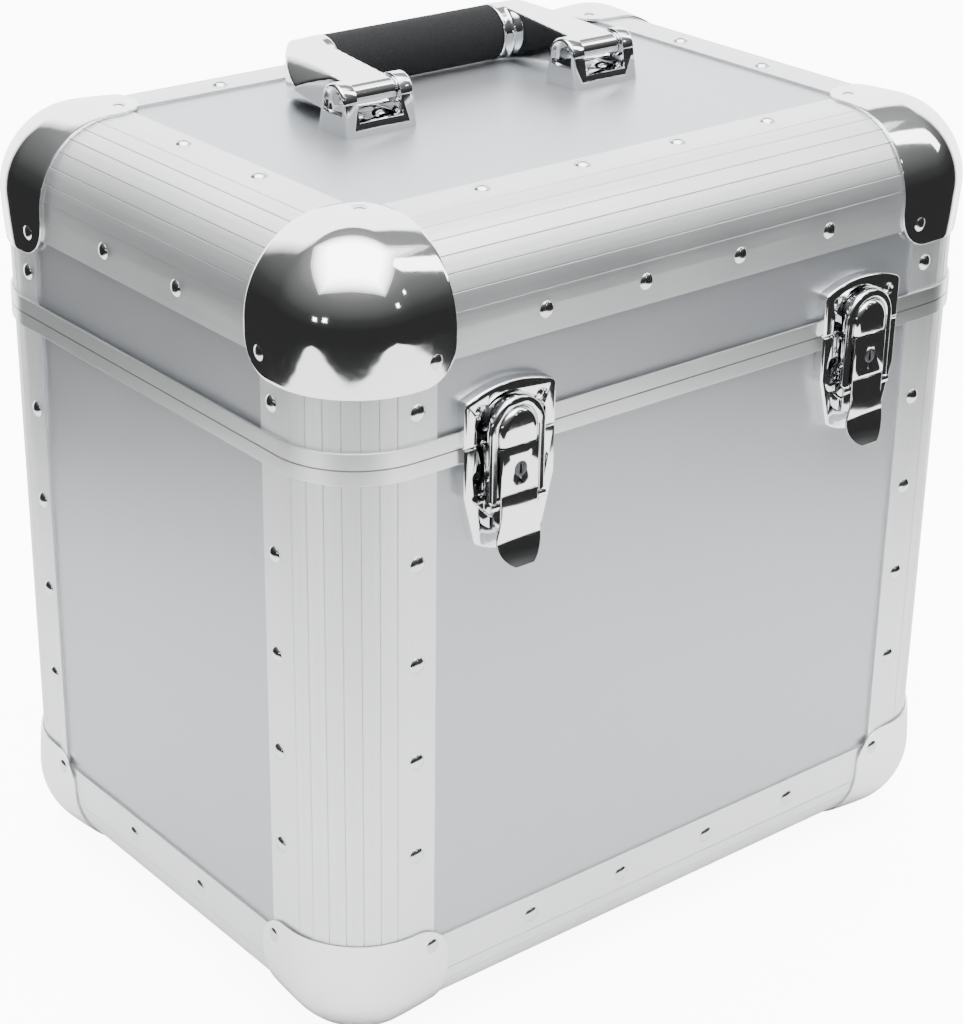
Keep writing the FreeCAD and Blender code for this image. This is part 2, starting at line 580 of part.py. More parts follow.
# Lock cylinder: plug in the lever face, collar behind it and a cam that hangs down
lock_front = LEVER_FACE + LOCK_PROUD
collar_front = face_inner - LOCK_COLLAR_GAP
lock = rod(latch_point(0, LOCK_BACK, -LOCK_DROP), latch_point(0, lock_front, -LOCK_DROP), LOCK_RADIUS)
collar = rod(latch_point(0, collar_front - LOCK_COLLAR_THICKNESS, -LOCK_DROP),
             latch_point(0, collar_front, -LOCK_DROP), LOCK_COLLAR_RADIUS)
cam = latch_block(-CAM_HALF_WIDTH, CAM_HALF_WIDTH, LOCK_BACK - CAM_THICKNESS, LOCK_BACK,
                  -LOCK_DROP - CAM_LENGTH, -LOCK_DROP + CAM_HALF_WIDTH)
key_cut = latch_block(-KEY_CUT_HALF_WIDTH, KEY_CUT_HALF_WIDTH, lock_front - KEY_CUT_DEPTH,
                      lock_front + OVERRUN, -LOCK_DROP - KEY_CUT_HALF_LENGTH,
                      -LOCK_DROP + KEY_CUT_HALF_LENGTH)
lock = lock.fuse([collar, cam]).cut(key_cut)


# Pull loop: an arched band on two eyes beside the lever, with a domed cover in its arch
def arch(half, top, bottom, low, high):
    """Latch solid with straight sides and a round top."""
    spring = top - half
    return latch_front((-half, bottom), [(half, bottom), (half, spring), ((0, top), (-half, spring))],
                       low, high)


loop_outer = LOOP_INNER_HALF_WIDTH + LOOP_BAND
arch_top = LOOP_TOP_RISE - LOOP_BAND
band = arch(loop_outer, LOOP_TOP_RISE, -LOOP_PIVOT_DROP, LOOP_BACK, LOOP_FRONT)
band = band.cut(arch(LOOP_INNER_HALF_WIDTH, arch_top, -LOOP_PIVOT_DROP - OVERRUN,
                     LOOP_BACK - OVERRUN, LOOP_FRONT + OVERRUN))
backing = arch(LOOP_INNER_HALF_WIDTH + COVER_BACKING, arch_top + COVER_BACKING, -COVER_GAP_BELOW_SPLIT,
               LOOP_BACK, LOOP_BACK + COVER_BACKING)
cover = arch(LOOP_INNER_HALF_WIDTH - COVER_SIDE_GAP, arch_top - COVER_SIDE_GAP, -COVER_GAP_BELOW_SPLIT,
             LOOP_BACK, LEVER_FACE)
band = eased(band, LOOP_EDGE_RADIUS, latch_point(0, LOOP_FRONT, 0), Y)
cover_foot = z_split - COVER_GAP_BELOW_SPLIT
cover_rim = [e for e in edges_on(cover, latch_point(0, LEVER_FACE, 0), Y)
             if e.BoundBox.ZMax > cover_foot + SAME_PLACE]
loop = band.fuse([backing, cover.makeFillet(COVER_EDGE_RADIUS, cover_rim)])
for low, high in ((-loop_outer, -LOOP_INNER_HALF_WIDTH), (LOOP_INNER_HALF_WIDTH, loop_outer)):
    loop = loop.fuse(rod(V(low, loop_eye.y, loop_eye.z), V(high, loop_eye.y, loop_eye.z), LOOP_EYE_RADIUS))
reach = X * loop_outer
loop = loop.fuse(rod(loop_eye - reach, loop_eye + reach, LOOP_PIN_RADIUS))


# Corner profiles: one extrusion section on all twelve edges
def on_round(degrees, radius):
    """Point of the section at an angle round the corner."""
    angle = math.radians(degrees)
    return (ROUND_RADIUS - radius * math.sin(angle), ROUND_RADIUS - radius * math.cos(angle))


def groove_points():
    """Notches of the grooves; the ribs between them are flat."""
    half = math.degrees(GROOVE_HALF_WIDTH / ROUND_RADIUS)
    points = []
    for i in range(GROOVE_COUNT):
        angle = 45 + (i - (GROOVE_COUNT - 1) / 2) * GROOVE_STEP_DEGREES
        points += [on_round(angle - half, ROUND_RADIUS), on_round(angle, ROUND_RADIUS - GROOVE_DEPTH),
                   on_round(angle + half, ROUND_RADIUS)]
    return points


inner_round = ROUND_RADIUS - ROUND_WALL
wall_foot = ROUND_RADIUS - math.sqrt(inner_round ** 2 - (ROUND_RADIUS - profile_end) ** 2)
section = [(ROUND_RADIUS, 0)] + groove_points() + [
    (0, ROUND_RADIUS), (0, FLANGE_END), (FLANGE_WALL, FLANGE_END), (FLANGE_WALL, SLOT_BOTTOM),
    (panel_inner, SLOT_BOTTOM), (panel_inner, FLANGE_END), (section_depth, FLANGE_END),
    (section_depth, profile_end), (wall_foot, profile_end),
    (on_round(45, inner_round), (profile_end, wall_foot)),
    (profile_end, section_depth), (FLANGE_END, section_depth), (FLANGE_END, panel_inner),
    (SLOT_BOTTOM, panel_inner), (SLOT_BOTTOM, FLANGE_WALL), (FLANGE_END, FLANGE_WALL)]


def mitres(tip, along, across, other):
    """Two wedges that mitre the flanges of a profile where it meets the other two of a corner."""
    low = profile_end - OVERRUN
    high = FLANGE_END + OVERRUN
    wedges = []
    for b, c in ((across, other), (other, across)):
        place = lambda p, q, b=b, c=c: tip + along * p + b * q - c * OVERRUN
        steps = [(low + MITRE_PLAY, low), (high + MITRE_PLAY, high), (low, high)]
        wedges.append(prism((low, low), steps, place, c * (section_depth + 2 * OVERRUN)))
    return wedges


def profile(tip, along, across, other, length, both_ends):
    """Profile from a corner of the case along an edge; a far end that is no corner is cut square."""
    start = tip + along * profile_end
    place = lambda u, v: start + across * u + other * v
    run = length - profile_end * (2 if both_ends else 1)
    solid = prism((FLANGE_END, 0), section, place, along * run)
    cuts = mitres(tip, along, across, other)
    if both_ends:
        cuts += mitres(tip + along * length, -along, across, other)
    return solid.cut(cuts)


corners = [("front_left", -1, -1), ("front_right", 1, -1), ("back_left", -1, 1), ("back_right", 1, 1)]


def edge_profiles(level, inward):
    """The four profiles round the bottom or the top."""
    far_x = V(-half_width, 0, level)
    near_y = V(0, -half_depth, level)
    return {
        "front": profile(far_x - Y * half_depth, X, Y, inward, WIDTH, True),
        "back": profile(far_x + Y * half_depth, X, -Y, inward, WIDTH, True),
        "left": profile(near_y - X * half_width, Y, X, inward, DEPTH, True),
        "right": profile(near_y + X * half_width, Y, -X, inward, DEPTH, True)}


def upright_profiles(level, inward, length):
    """The four upright profiles from a corner of the case to the rim."""
    return {name: profile(V(sx * half_width, sy * half_depth, level), inward, -X * sx, -Y * sy,
                          length, False) for name, sx, sy in corners}


# Panels
def wall_panels(low, high):
    """The four upright panels between two heights."""
    x = half_width - panel_edge
    y = half_depth - panel_edge
    outer_x = half_width - FLANGE_WALL
    outer_y = half_depth - FLANGE_WALL
    return {
        "front": box(V(-x, -outer_y, low), V(x, -outer_y + PANEL_THICKNESS, high)),
        "back": box(V(-x, outer_y - PANEL_THICKNESS, low), V(x, outer_y, high)),
        "left": box(V(-outer_x, -y, low), V(-outer_x + PANEL_THICKNESS, y, high)),
        "right": box(V(outer_x - PANEL_THICKNESS, -y, low), V(outer_x, y, high))}


def flat_panel(low):
    """The level panel that starts at a height."""
    x = half_width - panel_edge
    y = half_depth - panel_edge
    return box(V(-x, -y, low), V(x, y, low + PANEL_THICKNESS))


# Rims: channels round the open edges of body and lid
def rounded(offset, radius, low, high):
    """Rounded block that follows the case at an offset from its outer planes."""
    x = half_width + offset
    y = half_depth + offset
    a = x - radius
    b = y - radius
    k = radius * math.sqrt(2) / 2
    steps = [(a, -y), ((a + k, -b - k), (x, -b)), (x, b), ((a + k, b + k), (a, y)), (-a, y),
             ((-a - k, b + k), (-x, b)), (-x, -b), ((-a - k, -b - k), (-a, -y))]
    return prism((-a, -y), steps, lambda u, v: V(u, v, low), Z * (high - low))


def rim(seat, edge, foot):
    """Channel rim; seat is the level it sits on, edge the split and foot the end of its skirts."""
    low, high = min(edge, foot), max(edge, foot)
    inner = -section_depth - RIM_PLAY
    lining = inner - RIM_WALL
    block = rounded(RIM_PROUD, ROUND_RADIUS + RIM_PROUD, low, high)
    hole = rounded(lining, ROUND_RADIUS + lining, low - OVERRUN, high + OVERRUN)
    past = foot - math.copysign(OVERRUN, edge - foot)
    low, high = min(seat, past), max(seat, past)
    channel = rounded(RIM_PLAY, ROUND_RADIUS + RIM_PLAY, low, high)
    channel = channel.cut(rounded(inner, ROUND_RADIUS + inner, low - OVERRUN, high + OVERRUN))
    return block.cut([hole, channel])


# Corner caps: pressed balls, slightly fuller than the profiles, with flat seats for the rivets
ball_centre = ROUND_RADIUS + CAP_BALL_SHIFT
ball_radius = ball_centre + CAP_BALL_PROUD


def corner_cap(sx, sy, level, up, reach):
    """Ball cap over a corner of the case; up is the direction into the case from its level."""
    def block(offset, size, radius):
        cube = Part.makeBox(size, size, size, V(-offset, -offset, -offset))
        tip = V(-offset, -offset, -offset)
        return cube.makeFillet(radius, meeting(cube, tip))

    def meeting(cube, tip):
        return [e for e in cube.Edges if any((v.Point - tip).Length < SAME_PLACE for v in e.Vertexes)]

    def ball(radius, floor):
        sphere = Part.makeSphere(radius, V(ball_centre, ball_centre, ball_centre))
        if up < 0:
            return sphere
        start = ball_centre - radius - OVERRUN
        side = 2 * (radius + OVERRUN)
        return sphere.common(Part.makeBox(side, side, side, V(start, start, floor)))

    size = reach + CAP_WALL + OVERRUN
    shell = block(CAP_WALL, size, ROUND_RADIUS + CAP_WALL).fuse(ball(ball_radius, -CAP_WALL))
    hollow = block(CAP_PLAY, size, ROUND_RADIUS + CAP_PLAY).fuse(ball(ball_radius - CAP_WALL, -CAP_PLAY))
    start = -CAP_BALL_PROUD - OVERRUN
    trim = Part.makeBox(reach - start, reach - start, reach - start, V(start, start, start))
    trim = trim.makeFillet(CAP_LOBE_RADIUS, meeting(trim, V(reach, reach, reach)))
    seats = []
    for across, way in ((Y + Z, X), (Z + X, Y), (X + Y, Z)):
        rivet_place = across * CAP_RIVET_INSET
        seats.append(rod(rivet_place - way * CAP_WALL, rivet_place + way * start, CAP_SEAT_RADIUS))
    cap = shell.cut([hollow] + seats).common(trim)
    if sx > 0:
        cap = cap.mirror(V(0, 0, 0), X)
    if sy > 0:
        cap = cap.mirror(V(0, 0, 0), Y)
    if up < 0:
        cap = cap.mirror(V(0, 0, 0), Z)
    cap.translate(V(sx * half_width, sy * half_depth, level))
    return cap


# Foam pads, held on the tails of the rivets
pad_lift = section_depth + RIVET_TAIL_HEIGHT + PAD_SEAT_GAP
floor_pad = rounded(-PAD_EDGE_INSET, PAD_CORNER_RADIUS, z_low + pad_lift, z_low + pad_lift + PAD_THICKNESS)
lid_pad = rounded(-PAD_EDGE_INSET, PAD_CORNER_RADIUS, z_top - pad_lift - PAD_THICKNESS, z_top - pad_lift)


# Handle brackets: a foot web between two ears with an arched recess on their outer sides
def handle_point(x, y, h):
    """Place on the lid: y from the handle's pivot line, h above the lid panel."""
    return V(x, BRACKET_BACK_OF_MIDDLE + y, lid_face + h)


bracket_half = BRACKET_LENGTH / 2
ear_inner = bracket_half - EAR_THICKNESS
bracket_x = [s * BRACKET_SPACING / 2 for s in (-1, 1)]
grip_half = BRACKET_SPACING / 2 - GRIP_END_INSIDE_BRACKET
arm_spread = BRACKET_SPACING / 2 + ARM_OUTSIDE_BRACKET
grip_height = GRIP_RADIUS + FERRULE_STEP + HANDLE_REST_GAP


def bracket(centre):
    """One bracket with its pin bores."""
    def side(start, steps, low, high):
        return prism(start, steps, lambda y, h: handle_point(centre + low, y, h), X * (high - low))

    ear_steps = [(EAR_TOP_RADIUS, EAR_ARC_HEIGHT),
                 ((0, EAR_ARC_HEIGHT + EAR_TOP_RADIUS), (-EAR_TOP_RADIUS, EAR_ARC_HEIGHT)),
                 (-BRACKET_HALF_DEPTH, 0)]
    recess_steps = [(EAR_RECESS_RADIUS, EAR_ARC_HEIGHT),
                    ((0, EAR_ARC_HEIGHT + EAR_RECESS_RADIUS), (-EAR_RECESS_RADIUS, EAR_ARC_HEIGHT)),
                    (-EAR_RECESS_RADIUS, EAR_RECESS_FLOOR)]
    solid = box(handle_point(centre - ear_inner - OVERRUN, -BRACKET_HALF_DEPTH, 0),
                handle_point(centre + ear_inner + OVERRUN, BRACKET_HALF_DEPTH, BRACKET_WEB_HEIGHT))
    slopes = side((BRACKET_HALF_DEPTH, 0), ear_steps, -bracket_half, bracket_half)
    solid = solid.common(slopes)
    for low, high, outer in ((-bracket_half, -ear_inner, -bracket_half),
                             (ear_inner, bracket_half, bracket_half)):
        ear = side((BRACKET_HALF_DEPTH, 0), ear_steps, low, high)
        rim_edges = [e for e in edges_on(ear, V(centre + outer, 0, 0), X)
                     if e.BoundBox.ZMax > lid_face + SAME_PLACE]
        solid = solid.fuse(ear.makeFillet(EAR_EDGE_RADIUS, rim_edges))
    face = bracket_half - EAR_RECESS_DEPTH
    recesses = [side((EAR_RECESS_RADIUS, EAR_RECESS_FLOOR), recess_steps, low, high)
                for low, high in ((-bracket_half - OVERRUN, -face), (face, bracket_half + OVERRUN))]
    bore = rod(handle_point(centre - bracket_half - OVERRUN, 0, HANDLE_PIVOT_HEIGHT),
               handle_point(centre + bracket_half + OVERRUN, 0, HANDLE_PIVOT_HEIGHT),
               HANDLE_PIN_RADIUS + HANDLE_PIN_PLAY)
    return solid.cut(recesses + [bore])


brackets = [bracket(x) for x in bracket_x]
pin_half = bracket_half - EAR_RECESS_DEPTH / 2
handle_pins = [rod(handle_point(x - pin_half, 0, HANDLE_PIVOT_HEIGHT),
                   handle_point(x + pin_half, 0, HANDLE_PIVOT_HEIGHT), HANDLE_PIN_RADIUS)
               for x in bracket_x]
screw_grip = BRACKET_WEB_HEIGHT + PANEL_THICKNESS + BRACKET_SCREW_END
bracket_screw = fastener(BRACKET_SCREW_HEAD_HEIGHT, BRACKET_SCREW_HEAD_RADIUS, BRACKET_SCREW_RADIUS,
                         screw_grip, 0, 0)
bracket_drill = rod(V(0, 0, OVERRUN), V(0, 0, -screw_grip - OVERRUN), BRACKET_SCREW_RADIUS + RIVET_HOLE_PLAY)
bracket_pairs = []
for x in bracket_x:
    for dx in (-BRACKET_SCREW_SPACING / 2, BRACKET_SCREW_SPACING / 2):
        seat = handle_point(x + dx, 0, BRACKET_WEB_HEIGHT)
        bracket_pairs.append((seated(bracket_screw, seat, Z), seated(bracket_drill, seat, Z)))


# Handle: two cast arms from the brackets to a foam grip, lying back on the lid
def round_both(first, first_radius, second, second_radius):
    """Start and steps of the outline drawn tight round two circles."""
    way = math.atan2(second[1] - first[1], second[0] - first[0])
    lean = math.acos((first_radius - second_radius) / math.hypot(second[0] - first[0], second[1] - first[1]))

    def at(centre, radius, angle):
        return (centre[0] + radius * math.cos(angle), centre[1] + radius * math.sin(angle))

    steps = [(at(first, first_radius, way + math.pi), at(first, first_radius, way - lean)),
             at(second, second_radius, way - lean),
             (at(second, second_radius, way), at(second, second_radius, way + lean))]
    return at(first, first_radius, way + lean), steps


def arm(sx):
    """Arm on one side: what its outlines from above, the side and the front share, barrel and ferrule."""
    near = BRACKET_SPACING / 2 - ear_inner + BARREL_SIDE_PLAY
    far = BRACKET_SPACING / 2 + ear_inner - BARREL_SIDE_PLAY
    ferrule_end = grip_half + FERRULE_LENGTH
    past = GRIP_RADIUS + OVERRUN
    back = GRIP_REACH + ELBOW_PAST_GRIP
    elbow = (arm_spread - ELBOW_MIDDLE_INSET, GRIP_REACH - ELBOW_MIDDLE_BEFORE_GRIP)
    above = prism((near, -BARREL_RADIUS),
                  [(far, -BARREL_RADIUS), (far, ARM_STRAIGHT), (arm_spread, GRIP_REACH - ELBOW_BEFORE_GRIP),
                   (elbow, (ferrule_end, back)), (near, back)],
                  lambda x, y: handle_point(sx * x, y, grip_height - past), Z * (2 * past))
    start, steps = round_both((0, HANDLE_PIVOT_HEIGHT), BARREL_RADIUS,
                              (GRIP_REACH, grip_height), GRIP_RADIUS)
    beside = prism(start, steps, lambda y, h: handle_point(0, y, h), X * sx * (arm_spread + OVERRUN))
    dome = arm_spread - DOME_MIDDLE_INSET
    outermost = (arm_spread + DOME_PAST_ELBOW, 0)
    in_front = prism((ferrule_end, past),
                     [(ferrule_end, GRIP_RADIUS), ((dome, DOME_MIDDLE_HEIGHT), outermost),
                      ((dome, -DOME_MIDDLE_HEIGHT), (ferrule_end, -GRIP_RADIUS)), (ferrule_end, -past),
                      (0, -past), (0, past)],
                     lambda x, h: handle_point(sx * x, -BARREL_RADIUS, grip_height + h),
                     Y * (BARREL_RADIUS + back + OVERRUN))
    barrel = rod(handle_point(sx * near, 0, HANDLE_PIVOT_HEIGHT),
                 handle_point(sx * far, 0, HANDLE_PIVOT_HEIGHT), BARREL_RADIUS)
    ferrule = rod(handle_point(sx * grip_half, GRIP_REACH, grip_height),
                  handle_point(sx * ferrule_end, GRIP_REACH, grip_height), GRIP_RADIUS + FERRULE_STEP)
    bore = rod(handle_point(sx * (near - OVERRUN), 0, HANDLE_PIVOT_HEIGHT),
               handle_point(sx * (far + OVERRUN), 0, HANDLE_PIVOT_HEIGHT),
               HANDLE_PIN_RADIUS + HANDLE_PIN_PLAY)
    socket = rod(handle_point(0, GRIP_REACH, grip_height),
                 handle_point(sx * (grip_half + CORE_SOCKET + CORE_PLAY), GRIP_REACH, grip_height),
                 CORE_RADIUS + CORE_PLAY)
    return above.common(beside).common(in_front).fuse([barrel, ferrule]).cut([bore, socket])


core_half = grip_half + CORE_SOCKET
grip_ends = [handle_point(s * grip_half, GRIP_REACH, grip_height) for s in (-1, 1)]
core_ends = [handle_point(s * core_half, GRIP_REACH, grip_height) for s in (-1, 1)]
handle_core = rod(core_ends[0], core_ends[1], CORE_RADIUS)
handle_grip = rod(grip_ends[0], grip_ends[1], GRIP_RADIUS)
handle_grip = handle_grip.cut(rod(core_ends[0], core_ends[1], CORE_RADIUS + CORE_PLAY))

# Everything by name
lid_profile_length = z_top - lid_seat
body_profile_length = body_seat - z_low
pieces = {}
body_drills = [pair[1] for pair in body_pairs]
lid_drills = [pair[1] for pair in lid_pairs + catch_pairs + bracket_pairs]


def drilled(solid, drills):
    """Solid with the fastener holes that pass through it."""
    near = [d for d in drills if d.BoundBox.intersect(solid.BoundBox)]
    return solid.cut(near) if near else solid


def moved(solid, x):
    """Copy of a latch piece at its place along the front."""
    copy = solid.copy()
    copy.translate(X * x)
    return copy


pieces["bottom_panel"] = drilled(flat_panel(z_low + FLANGE_WALL), body_drills)
for name, solid in wall_panels(z_low + panel_edge, body_seat).items():
    pieces["body_" + name + "_panel"] = drilled(solid, body_drills)
for name, solid in edge_profiles(z_low, Z).items():
    pieces["bottom_" + name + "_profile"] = drilled(solid, body_drills)
for name, solid in upright_profiles(z_low, Z, body_profile_length).items():
    pieces["corner_profile_" + name] = drilled(solid, body_drills)
for name, sx, sy in corners:
    pieces["bottom_cap_" + name] = drilled(corner_cap(sx, sy, z_low, 1, CAP_REACH_BODY), body_drills)
pieces["body_rim"] = rim(body_seat, z_split, z_split - RIM_BODY_HEIGHT)
pieces["body_rivets"] = group([pair[0] for pair in body_pairs])
pieces["floor_pad"] = floor_pad
pieces["hinge_body_leaves"] = group([drilled(leaf, body_drills) for leaf in hinge_body_leaves])
pieces["hinge_pins"] = group(hinge_pins)

pieces["lid_top_panel"] = drilled(flat_panel(lid_face - PANEL_THICKNESS), lid_drills)
for name, solid in wall_panels(lid_seat, z_top - panel_edge).items():
    pieces["lid_" + name + "_panel"] = drilled(solid, lid_drills)
for name, solid in edge_profiles(z_top, -Z).items():
    pieces["top_" + name + "_profile"] = drilled(solid, lid_drills)
pieces["lid_corner_profiles"] = group(
    [drilled(solid, lid_drills) for solid in upright_profiles(z_top, -Z, lid_profile_length).values()])
for name, sx, sy in corners:
    pieces["ball_corner_" + name] = drilled(corner_cap(sx, sy, z_top, -1, CAP_REACH_LID), lid_drills)
pieces["lid_rim"] = rim(lid_seat, z_split, z_split + RIM_LID_HEIGHT)
pieces["lid_rivets"] = group([pair[0] for pair in lid_pairs])
pieces["lid_pad"] = lid_pad
pieces["hinge_lid_leaves"] = group([drilled(leaf, lid_drills) for leaf in hinge_lid_leaves])
pieces["catch_screws"] = group([pair[0] for pair in catch_pairs])
pieces["bracket_screws"] = group([pair[0] for pair in bracket_pairs])
pieces["handle_pins"] = group(handle_pins)
for side, s, x, solid in zip(("left", "right"), (-1, 1), latch_x, brackets):
    pieces["handle_bracket_" + side] = drilled(solid, lid_drills)
    pieces["handle_arm_" + side] = arm(s)
    pieces["latch_base_plate_" + side] = drilled(moved(base_plate, x), body_drills)
    pieces["catch_plate_" + side] = drilled(moved(catch_plate, x), lid_drills)
    pieces["latch_lever_" + side] = moved(lever, x)
    pieces["latch_loop_" + side] = moved(loop, x)
    pieces["lock_cylinder_" + side] = moved(lock, x)
pieces["handle_grip"] = handle_grip
pieces["handle_core"] = handle_core

os.makedirs("parts", exist_ok=True)
for node, shape in pieces.items():
    shape.exportStep("parts/" + node + ".step")
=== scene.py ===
import bpy
from math import pi, radians, sqrt
from mathutils import Matrix, Vector


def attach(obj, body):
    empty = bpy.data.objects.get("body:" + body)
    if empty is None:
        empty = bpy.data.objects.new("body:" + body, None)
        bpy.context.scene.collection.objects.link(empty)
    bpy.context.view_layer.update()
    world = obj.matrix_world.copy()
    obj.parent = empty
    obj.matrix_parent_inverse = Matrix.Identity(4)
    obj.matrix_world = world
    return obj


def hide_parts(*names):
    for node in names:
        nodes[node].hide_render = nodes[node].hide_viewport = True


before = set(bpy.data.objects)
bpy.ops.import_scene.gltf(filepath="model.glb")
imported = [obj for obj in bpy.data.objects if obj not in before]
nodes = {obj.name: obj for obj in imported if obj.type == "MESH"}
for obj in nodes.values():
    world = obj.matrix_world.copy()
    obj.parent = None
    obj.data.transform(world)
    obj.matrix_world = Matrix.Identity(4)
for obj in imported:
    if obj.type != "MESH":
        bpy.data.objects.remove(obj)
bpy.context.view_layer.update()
bpy.ops.object.select_all(action="DESELECT")


# Board panels: plywood faced with a thin silver-grey laminate, cut square and slid into the
# slots of the aluminium profiles. The face is satin, with a faint grain and hand marks.
class Shade:
    """One socket of a node tree; the operators add Math nodes."""

    def __init__(self, tree, socket):
        self.tree = tree
        self.socket = socket

    def combine(self, operation, first, second):
        node = self.tree.nodes.new("ShaderNodeMath")
        node.operation = operation
        for place, value in zip(node.inputs, (first, second)):
            if isinstance(value, Shade):
                self.tree.links.new(value.socket, place)
            else:
                place.default_value = value
        return Shade(self.tree, node.outputs[0])

    def __add__(self, other):
        return self.combine("ADD", self, other)

    def __radd__(self, other):
        return self.combine("ADD", other, self)

    def __sub__(self, other):
        return self.combine("SUBTRACT", self, other)

    def __rsub__(self, other):
        return self.combine("SUBTRACT", other, self)

    def __mul__(self, other):
        return self.combine("MULTIPLY", self, other)

    def __rmul__(self, other):
        return self.combine("MULTIPLY", other, self)

    def power(self, other):
        return self.combine("POWER", self, other)

    def limit(self):
        """Kept between 0 and 1."""
        return self.combine("MINIMUM", self.combine("MAXIMUM", self, 0.0), 1.0)

    def away(self):
        """How far it is from zero."""
        return self.combine("MAXIMUM", self, 0.0 - self)


class Nodes:
    """A node tree that shades a surface or the room."""

    def __init__(self, tree):
        self.tree = tree

    def node(self, kind, settings, inputs, output=0):
        """Adds a node; its settings are set first, then the values or links of its sockets."""
        node = self.tree.nodes.new("ShaderNode" + kind)
        for key, value in settings.items():
            if key == "stops":
                while len(node.color_ramp.elements) < len(value):
                    node.color_ramp.elements.new(0.5)
                for stop, (place, colour) in zip(node.color_ramp.elements, value):
                    stop.position = place
                    stop.color = (*colour, 1.0)
            else:
                setattr(node, key, value)
        for key, value in inputs.items():
            if isinstance(value, Shade):
                self.tree.links.new(value.socket, node.inputs[key])
            else:
                node.inputs[key].default_value = value
        return Shade(self.tree, node.outputs[output])

    def parts(self, vector):
        """The three parts of a vector."""
        height = self.node("SeparateXYZ", {}, {"Vector": vector}, "Z")
        return [Shade(self.tree, socket) for socket in height.socket.node.outputs]


class Finish(Nodes):
    """A material: its own shader, and the nodes that vary it over the surface."""

    def __init__(self, name, colour, roughness, metallic=0.0):
        self.material = bpy.data.materials.new(name)
        self.material.use_nodes = True
        super().__init__(self.material.node_tree)
        self.shader = self.tree.nodes["Principled BSDF"]
        self.fix("Base Color", (*colour, 1.0))
        self.fix("Roughness", roughness)
        self.fix("Metallic", metallic)

    def fix(self, socket, value):
        """Sets one value all over the surface."""
        self.shader.inputs[socket].default_value = value

    def feed(self, socket, value):
        """Links a varying value to the shader."""
        self.tree.links.new(value.socket, self.shader.inputs[socket])

    def place(self, stretch=(1.0, 1.0, 1.0)):
        """Object coordinates, stretched by a scale on each axis."""
        coordinates = self.node("TexCoord", {}, {}, "Object")
        return self.node("Mapping", {}, {"Vector": coordinates, "Scale": stretch})

    def noise(self, where, scale, detail=3.0):
        """Soft noise from 0 to 1."""
        inputs = {"Vector": where, "Scale": scale, "Detail": detail}
        return self.node("TexNoise", {"noise_dimensions": "3D"}, inputs)

    def between(self, factor, *colours):
        """Colour that goes evenly through the colours with a factor."""
        stops = [(number / (len(colours) - 1), colour) for number, colour in enumerate(colours)]
        return self.node("ValToRGB", {"stops": stops}, {"Fac": factor})

    def bump(self, height, distance):
        """Raises the surface by a height from 0 to 1, over a distance in metres."""
        self.feed("Normal", self.node("Bump", {}, {"Height": height, "Distance": distance, "Strength": 1.0}))


def dress(finish, *names):
    """Gives CAD nodes a finish in all their material slots."""
    for name in names:
        node = nodes[name]
        if not node.material_slots:
            node.data.materials.append(finish.material)
        for place in node.material_slots:
            place.material = finish.material


SIDES = ("front", "back", "left", "right")
laminate = Finish("laminate", (0.53, 0.55, 0.57), 0.36, 0.72)
where = laminate.place()
grain = laminate.noise(where, 900.0, 2.0)
cloud = laminate.noise(where, 9.0, 4.0)
laminate.feed("Base Color", laminate.between(cloud * 0.8 + grain * 0.2,
                                             (0.41, 0.43, 0.455), (0.47, 0.49, 0.515)))
laminate.feed("Roughness", 0.30 + cloud * 0.12)
laminate.bump(grain, 0.00002)
dress(laminate, "bottom_panel", "lid_top_panel",
      *["%s_%s_panel" % (half, side) for half in ("body", "lid") for side in SIDES])


# Edge and corner profiles: extruded aluminium with a grooved round, satin from the die. They
# hold the boards in their slots on all twelve edges, cut to length and mitred under the caps.
HALF_WIDTH = 0.1815
HALF_DEPTH = 0.134
CASE_LOW, CASE_TOP = 0.0012, 0.3602
ROUND = 0.0365
GROOVE_DEPTH = 0.00013
PROFILE_EDGE = 0.0001
EDGE_SEGMENTS = 3
SOFT_ANGLE = 32
CRISP_ANGLE = 75
SMOOTH_ANGLE = 45
MERGE_DISTANCE = 0.000005
FLAT_ANGLE = 1.0


def extruded(name, lengthwise):
    """Satin aluminium with fine die lines along one axis and painted shade in the grooves."""
    finish = Finish(name, (0.80, 0.81, 0.82), 0.40, 1.0)
    stretch = [700.0, 700.0, 700.0]
    stretch["XYZ".index(lengthwise)] = 4.0
    lines = finish.noise(finish.place(tuple(stretch)), 1.0, 2.0)
    cloud = finish.noise(finish.place(), 14.0)
    middles = (0.0, 0.0, (CASE_LOW + CASE_TOP) / 2)
    halves = (HALF_WIDTH, HALF_DEPTH, (CASE_TOP - CASE_LOW) / 2)
    inside = []
    for axis, along, middle, half in zip("XYZ", finish.parts(finish.place()), middles, halves):
        if axis != lengthwise:
            inside.append((along - middle).away() - (half - ROUND))
    radius = (inside[0] * inside[0] + inside[1] * inside[1]).power(0.5)
    in_quarter = (inside[0] * 4000.0).limit() * (inside[1] * 4000.0).limit()
    # Painted shade: the base colour goes to the low grey in the grooves of the round, where shade falls.
    groove_shade = ((ROUND - GROOVE_DEPTH - radius) * 6000.0).limit() * in_quarter
    tone = cloud * 0.6 + lines * 0.4
    finish.feed("Base Color", finish.between(tone * (1.0 - groove_shade), (0.66, 0.67, 0.69), (0.90, 0.91, 0.92)))
    finish.feed("Roughness", 0.36 + lines * 0.12 + cloud * 0.06)
    finish.bump(lines, 0.00002)
    return finish


